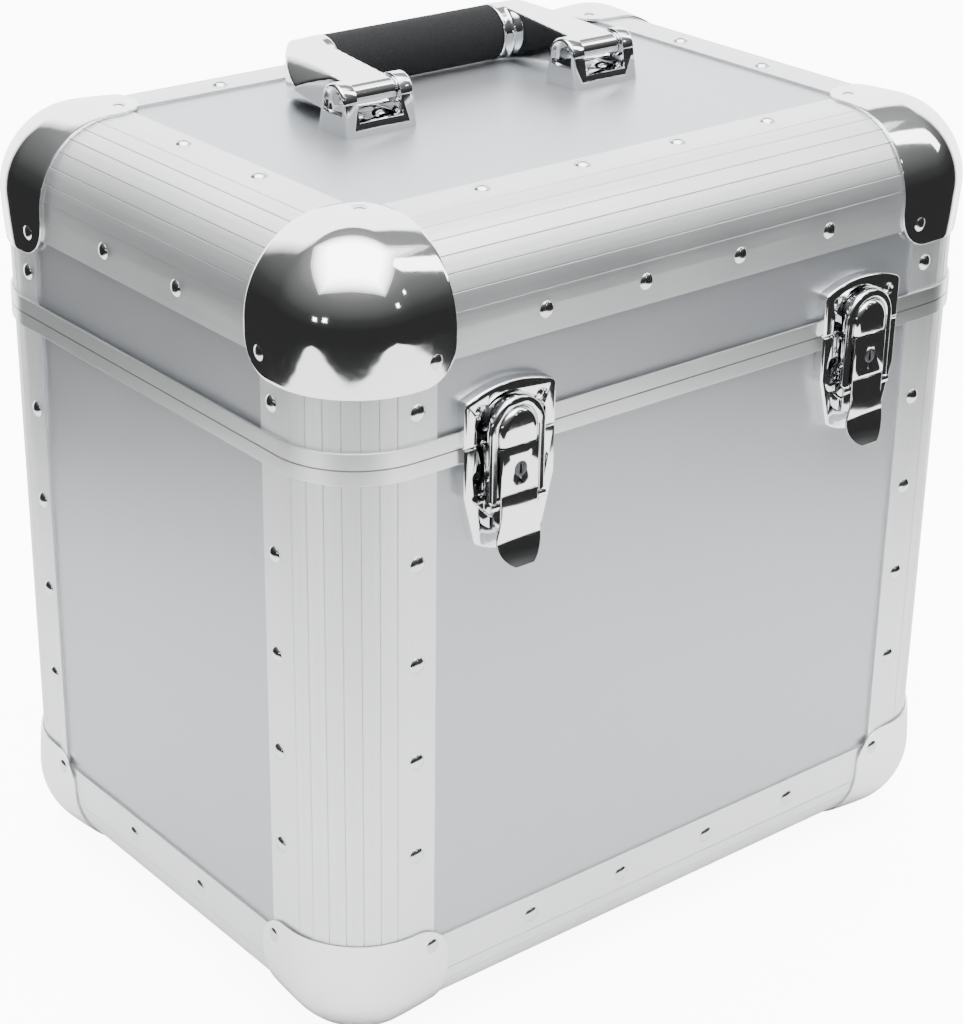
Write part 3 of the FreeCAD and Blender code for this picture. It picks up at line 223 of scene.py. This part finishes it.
def merged_copy(name):
    """Copy of a CAD piece with its loose triangles joined into faces; it alone is selected."""
    piece = nodes[name].copy()
    piece.data = nodes[name].data.copy()
    bpy.context.collection.objects.link(piece)
    bpy.ops.object.select_all(action="DESELECT")
    piece.select_set(True)
    bpy.context.view_layer.objects.active = piece
    bpy.ops.object.mode_set(mode="EDIT")
    bpy.ops.mesh.select_all(action="SELECT")
    bpy.ops.mesh.remove_doubles(threshold=MERGE_DISTANCE)
    bpy.ops.mesh.dissolve_limited(angle_limit=radians(FLAT_ANGLE))
    bpy.ops.object.mode_set(mode="OBJECT")
    return piece


def settle(piece, name, body, finish):
    """Puts a finished piece in the place of a CAD node."""
    piece.data.materials.clear()
    piece.data.materials.append(finish.material)
    piece.name = name + "_visual"
    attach(piece, body)
    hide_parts(name)


def eased_piece(name, body, finish, width, over=SOFT_ANGLE, flat_faces=False):
    """Copy of a CAD piece whose edges over an angle are rounded; its flat faces can shade flat."""
    piece = merged_copy(name)
    edge = piece.modifiers.new("edge", "BEVEL")
    edge.width = width
    edge.segments = EDGE_SEGMENTS
    edge.limit_method = "ANGLE"
    edge.angle_limit = radians(over)
    bpy.ops.object.modifier_apply(modifier="edge")
    bpy.ops.object.shade_smooth_by_angle(angle=radians(SMOOTH_ANGLE))
    if flat_faces:
        flats = piece.modifiers.new("flats", "WEIGHTED_NORMAL")
        flats.keep_sharp = True
        bpy.ops.object.modifier_apply(modifier="flats")
    settle(piece, name, body, finish)
    return piece


CORNERS = ("front_left", "front_right", "back_left", "back_right")
along_x = extruded("aluminium_across", "X")
along_y = extruded("aluminium_deep", "Y")
along_z = extruded("aluminium_upright", "Z")
for level, body in (("bottom", "body"), ("top", "lid")):
    for side, finish in zip(SIDES, (along_x, along_x, along_y, along_y)):
        eased_piece("%s_%s_profile" % (level, side), body, finish, PROFILE_EDGE,
                    CRISP_ANGLE, True)
for corner in CORNERS:
    eased_piece("corner_profile_" + corner, "body", along_z, PROFILE_EDGE,
                CRISP_ANGLE, True)
eased_piece("lid_corner_profiles", "lid", along_z, PROFILE_EDGE, CRISP_ANGLE, True)


# Rims: aluminium channels bent round the open edges of body and lid, pressed over the boards
# and profiles. They are a little brighter than the profiles, with painted shade in the split between.
SPLIT_HEIGHT = 0.2742
SPLIT_SHADE_REACH = 0.0004
RIM_EDGE = 0.0002
RIM_ANGLE = 60
rim_metal = Finish("rim_aluminium", (0.82, 0.83, 0.84), 0.28, 1.0)
cloud = rim_metal.noise(rim_metal.place(), 20.0)
scratch = rim_metal.noise(rim_metal.place((6.0, 6.0, 900.0)), 1.0, 2.0)
height = rim_metal.parts(rim_metal.place())[2]
upward = rim_metal.parts(rim_metal.node("TexCoord", {}, {}, "Normal"))[2]
# Painted shade: the base colour turns near-black in a narrow band at the split between lid rim and body rim,
# on the side faces only.
at_split = ((SPLIT_SHADE_REACH - (height - SPLIT_HEIGHT).away()) * 7000.0).limit()
split_shade = at_split * ((0.9 - upward.away()) * 10.0).limit()
rim_metal.feed("Base Color", rim_metal.between((0.5 + cloud * 0.5) * (1.0 - split_shade), (0.10, 0.10, 0.11),
                                               (0.78, 0.79, 0.80), (0.86, 0.87, 0.88)))
rim_metal.feed("Roughness", 0.30 + scratch * 0.05)
rim_metal.bump(scratch, 0.000002)
eased_piece("body_rim", "body", rim_metal, RIM_EDGE, RIM_ANGLE, True)
eased_piece("lid_rim", "lid", rim_metal, RIM_EDGE, RIM_ANGLE, True)


# Corner caps: pressed steel, bright nickel-chrome plated and riveted over every corner, a full
# ball on the lid and a shallower cap with a flat sole below. The press leaves faint waves.
CAP_WALL = 0.0012
CAP_CROWN = 0.00175
CROWN_SHARE = 0.62
CAP_LOBE = 0.016
CAP_EDGE = 0.00045
CAP_EDGE_ANGLE = 50
ROUND_SMOOTH_ANGLE = 40
CAP_WALL_SHARE = 0.95
CAP_CUTS = 43
BALL_REACH = 0.057
FOOT_REACH = 0.0555


def plated(name, colour, roughness, waviness):
    """Bright plating with faint press waves and fine handling marks."""
    finish = Finish(name, colour, roughness, 1.0)
    where = finish.place()
    waves = finish.noise(where, 60.0, 2.0)
    haze = finish.noise(where, 400.0)
    finish.feed("Roughness", roughness + haze * 0.05)
    finish.bump(waves, waviness)
    return finish


def pressed_cap(reach, flat_sole):
    """Cap for the corner at the origin, its walls towards the positive axes."""
    bpy.ops.object.select_all(action="DESELECT")
    bpy.ops.mesh.primitive_cube_add(size=1.0, location=(0.5, 0.5, 0.5))
    cap = bpy.context.object
    bpy.ops.object.transform_apply(location=True, rotation=True, scale=True)
    bpy.ops.object.mode_set(mode="EDIT")
    bpy.ops.mesh.select_all(action="SELECT")
    bpy.ops.mesh.subdivide(number_cuts=CAP_CUTS)
    bpy.ops.mesh.select_all(action="DESELECT")
    bpy.ops.object.mode_set(mode="OBJECT")
    for face in cap.data.polygons:
        face.select = max(face.center) > 0.9999
    bpy.ops.object.mode_set(mode="EDIT")
    bpy.ops.mesh.delete(type="FACE")
    bpy.ops.object.mode_set(mode="OBJECT")
    turn = reach - CAP_LOBE
    for vertex in cap.data.vertices:
        place = [value * reach for value in vertex.co]
        flat = place.index(min(place))
        a, b = [axis for axis in range(3) if axis != flat]
        if min(place[a], place[b]) > turn:
            u = (place[a] - turn) / CAP_LOBE
            v = (place[b] - turn) / CAP_LOBE
            place[a] = turn + CAP_LOBE * u * sqrt(1.0 - v * v / 2.0)
            place[b] = turn + CAP_LOBE * v * sqrt(1.0 - u * u / 2.0)
        core = Vector([max(value, ROUND) for value in place])
        way = (Vector(place) - core).normalized()
        crown = CAP_CROWN
        for value in place:
            rise = min(max((reach - value) / (reach * CROWN_SHARE), 0.0), 1.0)
            crown *= rise * (2.0 - rise)
        vertex.co = core + way * (ROUND + CAP_WALL + crown)
        if flat_sole:
            vertex.co.z = max(vertex.co.z, -CAP_WALL)
    wall = cap.modifiers.new("wall", "SOLIDIFY")
    wall.thickness = CAP_WALL * CAP_WALL_SHARE
    wall.offset = -1.0
    edge = cap.modifiers.new("edge", "BEVEL")
    edge.width = CAP_EDGE
    edge.segments = EDGE_SEGMENTS
    edge.limit_method = "ANGLE"
    edge.angle_limit = radians(CAP_EDGE_ANGLE)
    for modifier in ("wall", "edge"):
        bpy.ops.object.modifier_apply(modifier=modifier)
    bpy.ops.object.shade_smooth_by_angle(angle=radians(ROUND_SMOOTH_ANGLE))
    return cap


def set_cap(pattern, name, body, side, front, level, up):
    """Copy of a cap, mirrored onto a corner of the case."""
    cap = pattern.copy()
    cap.data = pattern.data.copy()
    bpy.context.collection.objects.link(cap)
    for vertex in cap.data.vertices:
        x, y, z = vertex.co
        vertex.co = (side * (HALF_WIDTH - x), front * (HALF_DEPTH - y), level + up * z)
    if side * front * up < 0:
        cap.data.flip_normals()
    settle(cap, name, body, chrome)


chrome = plated("chrome", (0.83, 0.84, 0.85), 0.04, 0.00008)
ball = pressed_cap(BALL_REACH, False)
foot = pressed_cap(FOOT_REACH, True)
for corner, side, front in zip(CORNERS, (-1, 1, -1, 1), (-1, -1, 1, 1)):
    set_cap(ball, "ball_corner_" + corner, "lid", side, front, CASE_TOP, -1)
    set_cap(foot, "bottom_cap_" + corner, "body", side, front, CASE_LOW, 1)
for pattern in (ball, foot):
    bpy.data.objects.remove(pattern, do_unlink=True)


# Rivets and screws: bright plated steel, set through caps, profiles, plates and boards. The
# blind rivets have low domed heads, flatter where they sit on a cap or under the case.
HEAD_RADIUS = 0.0037
HEAD_HEIGHT = 0.0018
LOW_HEAD_HEIGHT = 0.0013
HEAD_CUT = 0.4
HEAD_SEGMENTS, HEAD_RINGS = 28, 14
COLUMN_FRONT_INSET = 0.0393
COLUMN_FLANK_INSET = 0.0416
CAP_RIVET_INSET = 0.0465
ROW_INSET = 0.0385
LEVEL_ROW_INSET = 0.041
FRONT_ROW_PLACES = (0.0263, 0.0789)
FLANK_ROW_PLACE = 0.0275
LID_COLUMN_RISE = 0.0198
BODY_COLUMN_DROP = 0.0447
BODY_COLUMN_FOOT = 0.0939
BODY_COLUMN_COUNT = 4
SOLE_MARGIN = 0.0001


def rivet_heads(name, body, seats):
    """One piece of domed heads; a seat is a place and the way out."""
    bpy.ops.object.select_all(action="DESELECT")
    heads = []
    for place, way in seats:
        bpy.ops.mesh.primitive_uv_sphere_add(segments=HEAD_SEGMENTS, ring_count=HEAD_RINGS, radius=1.0)
        head = bpy.context.object
        bpy.ops.object.mode_set(mode="EDIT")
        bpy.ops.mesh.select_all(action="SELECT")
        bpy.ops.mesh.bisect(plane_co=(0, 0, HEAD_CUT), plane_no=(0, 0, 1), use_fill=True, clear_inner=True)
        bpy.ops.mesh.select_all(action="DESELECT")
        bpy.ops.object.mode_set(mode="OBJECT")
        on_cap = abs(place.x) > HALF_WIDTH or abs(place.y) > HALF_DEPTH or place.z > CASE_TOP
        under_case = place.z < CASE_LOW + SOLE_MARGIN
        high = (LOW_HEAD_HEIGHT if on_cap or under_case else HEAD_HEIGHT) / (1.0 - HEAD_CUT)
        wide = HEAD_RADIUS / sqrt(1.0 - HEAD_CUT * HEAD_CUT)
        size = Matrix.Diagonal((wide, wide, high, 1.0))
        sunk = Matrix.Translation((0, 0, -HEAD_CUT * high))
        outward = way.to_track_quat("Z", "Y").to_matrix().to_4x4()
        head.data.transform(Matrix.Translation(place) @ outward @ sunk @ size)
        heads.append(head)
    for head in heads:
        head.select_set(True)
    bpy.context.view_layer.objects.active = heads[0]
    bpy.ops.object.join()
    piece = bpy.context.object
    bpy.ops.object.shade_smooth_by_angle(angle=radians(ROUND_SMOOTH_ANGLE))
    settle(piece, name, body, rivet_metal)


def case_seats(level, into, columns):
    """Rivet seats round one half of the case, whose flat end is at a level."""
    outward = Vector((0, 0, -into))
    cap_height = level + into * CAP_RIVET_INSET
    row_height = level + into * ROW_INSET
    seats = []
    for side in (-1, 1):
        for mirror in (-1, 1):
            front = Vector((0, side, 0))
            flank = Vector((side, 0, 0))
            across = mirror * (HALF_WIDTH - COLUMN_FRONT_INSET)
            along = mirror * (HALF_DEPTH - COLUMN_FLANK_INSET)
            for z in columns:
                seats.append((Vector((across, side * HALF_DEPTH, z)), front))
                seats.append((Vector((side * HALF_WIDTH, along, z)), flank))
            across = mirror * (HALF_WIDTH - CAP_RIVET_INSET)
            along = mirror * (HALF_DEPTH - CAP_RIVET_INSET)
            seats.append((Vector((across, side * (HALF_DEPTH + CAP_WALL), cap_height)), front))
            seats.append((Vector((side * (HALF_WIDTH + CAP_WALL), along, cap_height)), flank))
            for distance in FRONT_ROW_PLACES:
                across = mirror * distance
                seats.append((Vector((across, side * HALF_DEPTH, row_height)), front))
                seats.append((Vector((across, side * (HALF_DEPTH - LEVEL_ROW_INSET), level)), outward))
            along = mirror * FLANK_ROW_PLACE
            seats.append((Vector((side * HALF_WIDTH, along, row_height)), flank))
            seats.append((Vector((side * (HALF_WIDTH - LEVEL_ROW_INSET), along, level)), outward))
    return seats


rivet_metal = plated("rivet_steel", (0.66, 0.67, 0.68), 0.14, 0.00003)
column_top = SPLIT_HEIGHT - BODY_COLUMN_DROP
column_step = (column_top - CASE_LOW - BODY_COLUMN_FOOT) / (BODY_COLUMN_COUNT - 1)
body_columns = [column_top - number * column_step for number in range(BODY_COLUMN_COUNT)]
lid_seats = case_seats(CASE_TOP, -1, [SPLIT_HEIGHT + LID_COLUMN_RISE])
for side in (-1, 1):
    for front in (-1, 1):
        seat = Vector((side * (HALF_WIDTH - CAP_RIVET_INSET), front * (HALF_DEPTH - CAP_RIVET_INSET),
                       CASE_TOP + CAP_WALL))
        lid_seats.append((seat, Vector((0, 0, 1))))
rivet_heads("body_rivets", "body", case_seats(CASE_LOW, 1, body_columns))
rivet_heads("lid_rivets", "lid", lid_seats)
dress(rivet_metal, "catch_screws", "bracket_screws")


# Hinges: pressed steel leaves riveted to the back boards, stepped out over the rims and
# rolled into knuckles that turn on a plain steel pin.
hinge_metal = plated("hinge_steel", (0.70, 0.71, 0.72), 0.22, 0.00008)
dress(hinge_metal, "hinge_body_leaves", "hinge_lid_leaves")
dress(rivet_metal, "hinge_pins")


# Latches: polished chrome-plated castings, with a lever that turns on the base plate, a pull
# loop on the lever, a catch plate screwed to the lid, and a key lock in the lever.
PLATE_EDGE = 0.0005
LEVER_EDGE = 0.0003
LOOP_EDGE = 0.0008
LOCK_EDGE = 0.0002
lock_metal = plated("lock_steel", (0.10, 0.10, 0.11), 0.3, 0.00003)
for side in ("left", "right"):
    eased_piece("latch_base_plate_" + side, "body", chrome, PLATE_EDGE)
    eased_piece("catch_plate_" + side, "lid", chrome, PLATE_EDGE)
    eased_piece("latch_lever_" + side, side + "_lever", chrome, LEVER_EDGE)
    eased_piece("latch_loop_" + side, side + "_loop", chrome, LOOP_EDGE)
    eased_piece("lock_cylinder_" + side, side + "_lock", lock_metal, LOCK_EDGE)


# Handle: chrome-plated brackets screwed to the lid, and two cast arms on pivot pins, joined
# by a steel core bar inside the grip. A casting has no sharp edge, so the arms are melted.
BRACKET_EDGE = 0.0008
ARM_GRAIN = 0.0005


def melted_piece(name, body, finish, grain):
    """Copy of a CAD piece with its parts run together, as in a casting."""
    piece = merged_copy(name)
    skin = piece.modifiers.new("skin", "REMESH")
    skin.mode = "VOXEL"
    skin.voxel_size = grain
    soft = piece.modifiers.new("soft", "SMOOTH")
    soft.factor = 0.5
    soft.iterations = 6
    for modifier in ("skin", "soft"):
        bpy.ops.object.modifier_apply(modifier=modifier)
    bpy.ops.object.shade_smooth()
    settle(piece, name, body, finish)


for side in ("left", "right"):
    eased_piece("handle_bracket_" + side, "lid", chrome, BRACKET_EDGE)
    melted_piece("handle_arm_" + side, "handle", chrome, ARM_GRAIN)
dress(rivet_metal, "handle_pins", "handle_core")


# Foam: the matt black moulded grip on the core bar, and the pads glued to the floor and under
# the lid top. Cut or moulded foam is a little rounded at every edge, with fine open cells.
FOAM_EDGE = 0.0014
FOAM_ANGLE = 60
foam = Finish("foam", (0.010, 0.011, 0.012), 0.95)
foam.fix("Specular IOR Level", 0.2)
cells = foam.noise(foam.place(), 1500.0)
foam.feed("Base Color", foam.between(cells, (0.005, 0.0053, 0.0058), (0.026, 0.027, 0.029)))
foam.bump(cells, 0.0002)
for name, body, slot in (("floor_pad", "body", "foam_lining"), ("lid_pad", "lid", "foam_lining"),
                         ("handle_grip", "handle", "grip_foam")):
    pad = eased_piece(name, body, foam, FOAM_EDGE, FOAM_ANGLE, True)


# Studio: a pale floor that only the camera sees, and just under the case a white table that
# the metal mirrors. The room is light behind the case and dark behind the camera.
FLOOR_SIZE = 80.0
LOOK = Vector((0.6337, 0.7736, 0.0))
ASIDE = Vector((LOOK.y, -LOOK.x, 0.0))
TABLE_NEAR, TABLE_FAR = -0.72, 2.6
TABLE_LEFT, TABLE_RIGHT = -0.62, 0.66
TABLE_DROP = 0.0005
ROOM_STRENGTH = 4.5
floor_finish = Finish("studio_floor", (0.94, 0.94, 0.93), 0.7)
floor_finish.fix("Emission Color", (1.0, 1.0, 0.985, 1.0))
floor_finish.fix("Emission Strength", 9.0)
bpy.ops.mesh.primitive_plane_add(size=FLOOR_SIZE, location=(0, 0, 0))
floor = bpy.context.object
floor.name = "studio_floor"
floor.data.materials.append(floor_finish.material)
floor.visible_glossy = False
floor.visible_diffuse = False
floor.visible_shadow = False

table_finish = Finish("studio_table", (0.94, 0.94, 0.93), 0.7)
table_middle = (LOOK * (TABLE_NEAR + TABLE_FAR) + ASIDE * (TABLE_LEFT + TABLE_RIGHT)) / 2
bpy.ops.mesh.primitive_plane_add(size=1.0, rotation=(0, 0, -ASIDE.angle(Vector((1, 0, 0)))),
                                 location=table_middle - Vector((0, 0, TABLE_DROP)))
table = bpy.context.object
table.name = "studio_table"
table.scale = (TABLE_RIGHT - TABLE_LEFT, TABLE_FAR - TABLE_NEAR, 1.0)
table.data.materials.append(table_finish.material)
table.visible_camera = False


def greys(*stops):
    """Stops of a ramp of greys."""
    return {"stops": [(place, (grey, grey, grey)) for place, grey in stops]}


world = bpy.data.worlds.new("studio")
world.use_nodes = True
bpy.context.scene.world = world
room = Nodes(world.node_tree)
direction = room.node("TexCoord", {}, {}, "Generated")
rise = room.parts(direction)[2]
ahead = room.node("VectorMath", {"operation": "DOT_PRODUCT"}, {0: direction, 1: LOOK}, "Value")
behind_case = room.node("MapRange", {}, {"Value": ahead, "From Min": 0.5, "From Max": 0.62}, "Result")
backdrop_tones = greys((0.0, 1.0), (0.66, 1.0), (0.69, 0.09), (1.0, 0.17))
dark_tones = greys((0.0, 0.008), (0.2, 0.015), (0.55, 0.055), (1.0, 0.17))
backdrop = room.node("ValToRGB", backdrop_tones, {"Fac": rise})
dark_room = room.node("ValToRGB", dark_tones, {"Fac": rise})
sky = room.node("Mix", {"data_type": "RGBA"}, {"Factor": behind_case, 6: dark_room, 7: backdrop}, 2)
background = world.node_tree.nodes["Background"]
world.node_tree.links.new(sky.socket, background.inputs["Color"])
background.inputs["Strength"].default_value = ROOM_STRENGTH


# Lights: a soft box overhead whose light falls off towards its edges, made of stacked boxes,
# a narrow one at the right, and four small lamps of the room behind the camera.
CASE_MIDDLE = (0.0, 0.0, 0.19)
OVERHEAD_PLACE = Vector((-0.22, -0.26, 1.9))
OVERHEAD_WIDTH, OVERHEAD_DEPTH = 2.1, 1.8
OVERHEAD_LAYERS = 6
OVERHEAD_POWER = 17.0
LAYER_SHARE, LAYER_SHARE_STEP = 0.75, 0.13
LAYER_RISE = 0.01
RIGHT_PLACE = (1.5, -0.9, 1.6)
RIGHT_WIDTH, RIGHT_HEIGHT = 0.4, 1.2
RIGHT_POWER = 10.0
LAMP_SIZE = 0.2
LAMP_POWER = 1.6
LAMP_PLACES = ((-1.9, 2.2, 0.75), (-1.25, 2.2, 0.75), (2.4, 1.6, 1.4), (3.2, 0.9, 2.1))


def softbox(name, centre, width, height, power):
    """Rectangular studio light aimed at the case."""
    light = bpy.data.lights.new(name, "AREA")
    light.shape = "RECTANGLE"
    light.size = width
    light.size_y = height
    light.energy = power
    lamp = bpy.data.objects.new(name, light)
    bpy.context.collection.objects.link(lamp)
    lamp.location = centre
    lamp.rotation_euler = (Vector(CASE_MIDDLE) - Vector(centre)).to_track_quat("-Z", "Y").to_euler()


for number in range(OVERHEAD_LAYERS):
    share = LAYER_SHARE + number * LAYER_SHARE_STEP
    softbox("overhead_%d" % number, OVERHEAD_PLACE + Vector((0, 0, number * LAYER_RISE)),
            OVERHEAD_WIDTH * share, OVERHEAD_DEPTH * share, OVERHEAD_POWER * share * share)
softbox("overhead_right", RIGHT_PLACE, RIGHT_WIDTH, RIGHT_HEIGHT, RIGHT_POWER)
for number, (across, away, up) in enumerate(LAMP_PLACES):
    softbox("room_lamp_%d" % number, ASIDE * across - LOOK * away + Vector((0, 0, up)),
            LAMP_SIZE, LAMP_SIZE, LAMP_POWER)


# Camera: solved from the rivet rows, flange edges and grooves in the picture.
CAMERA_PLACE = (-0.68006, -0.82941, 0.66726)
CAMERA_AZIMUTH = 39.322
CAMERA_ELEVATION = 25.247
CAMERA_ROLL = 0.858
FOCAL_PIXELS = 2511.34
FRAME_PIXELS_HIGH = 1024
SENSOR = 36.0
view = bpy.data.cameras.new("camera")
view.sensor_fit = "VERTICAL"
view.sensor_height = SENSOR
view.lens = FOCAL_PIXELS / FRAME_PIXELS_HIGH * SENSOR
view.clip_start = 0.01
camera = bpy.data.objects.new("camera", view)
bpy.context.collection.objects.link(camera)
turn = (Matrix.Rotation(-radians(CAMERA_AZIMUTH), 4, "Z")
        @ Matrix.Rotation(pi / 2 - radians(CAMERA_ELEVATION), 4, "X")
        @ Matrix.Rotation(radians(CAMERA_ROLL), 4, "Z"))
camera.matrix_world = Matrix.Translation(CAMERA_PLACE) @ turn
bpy.context.scene.camera = camera
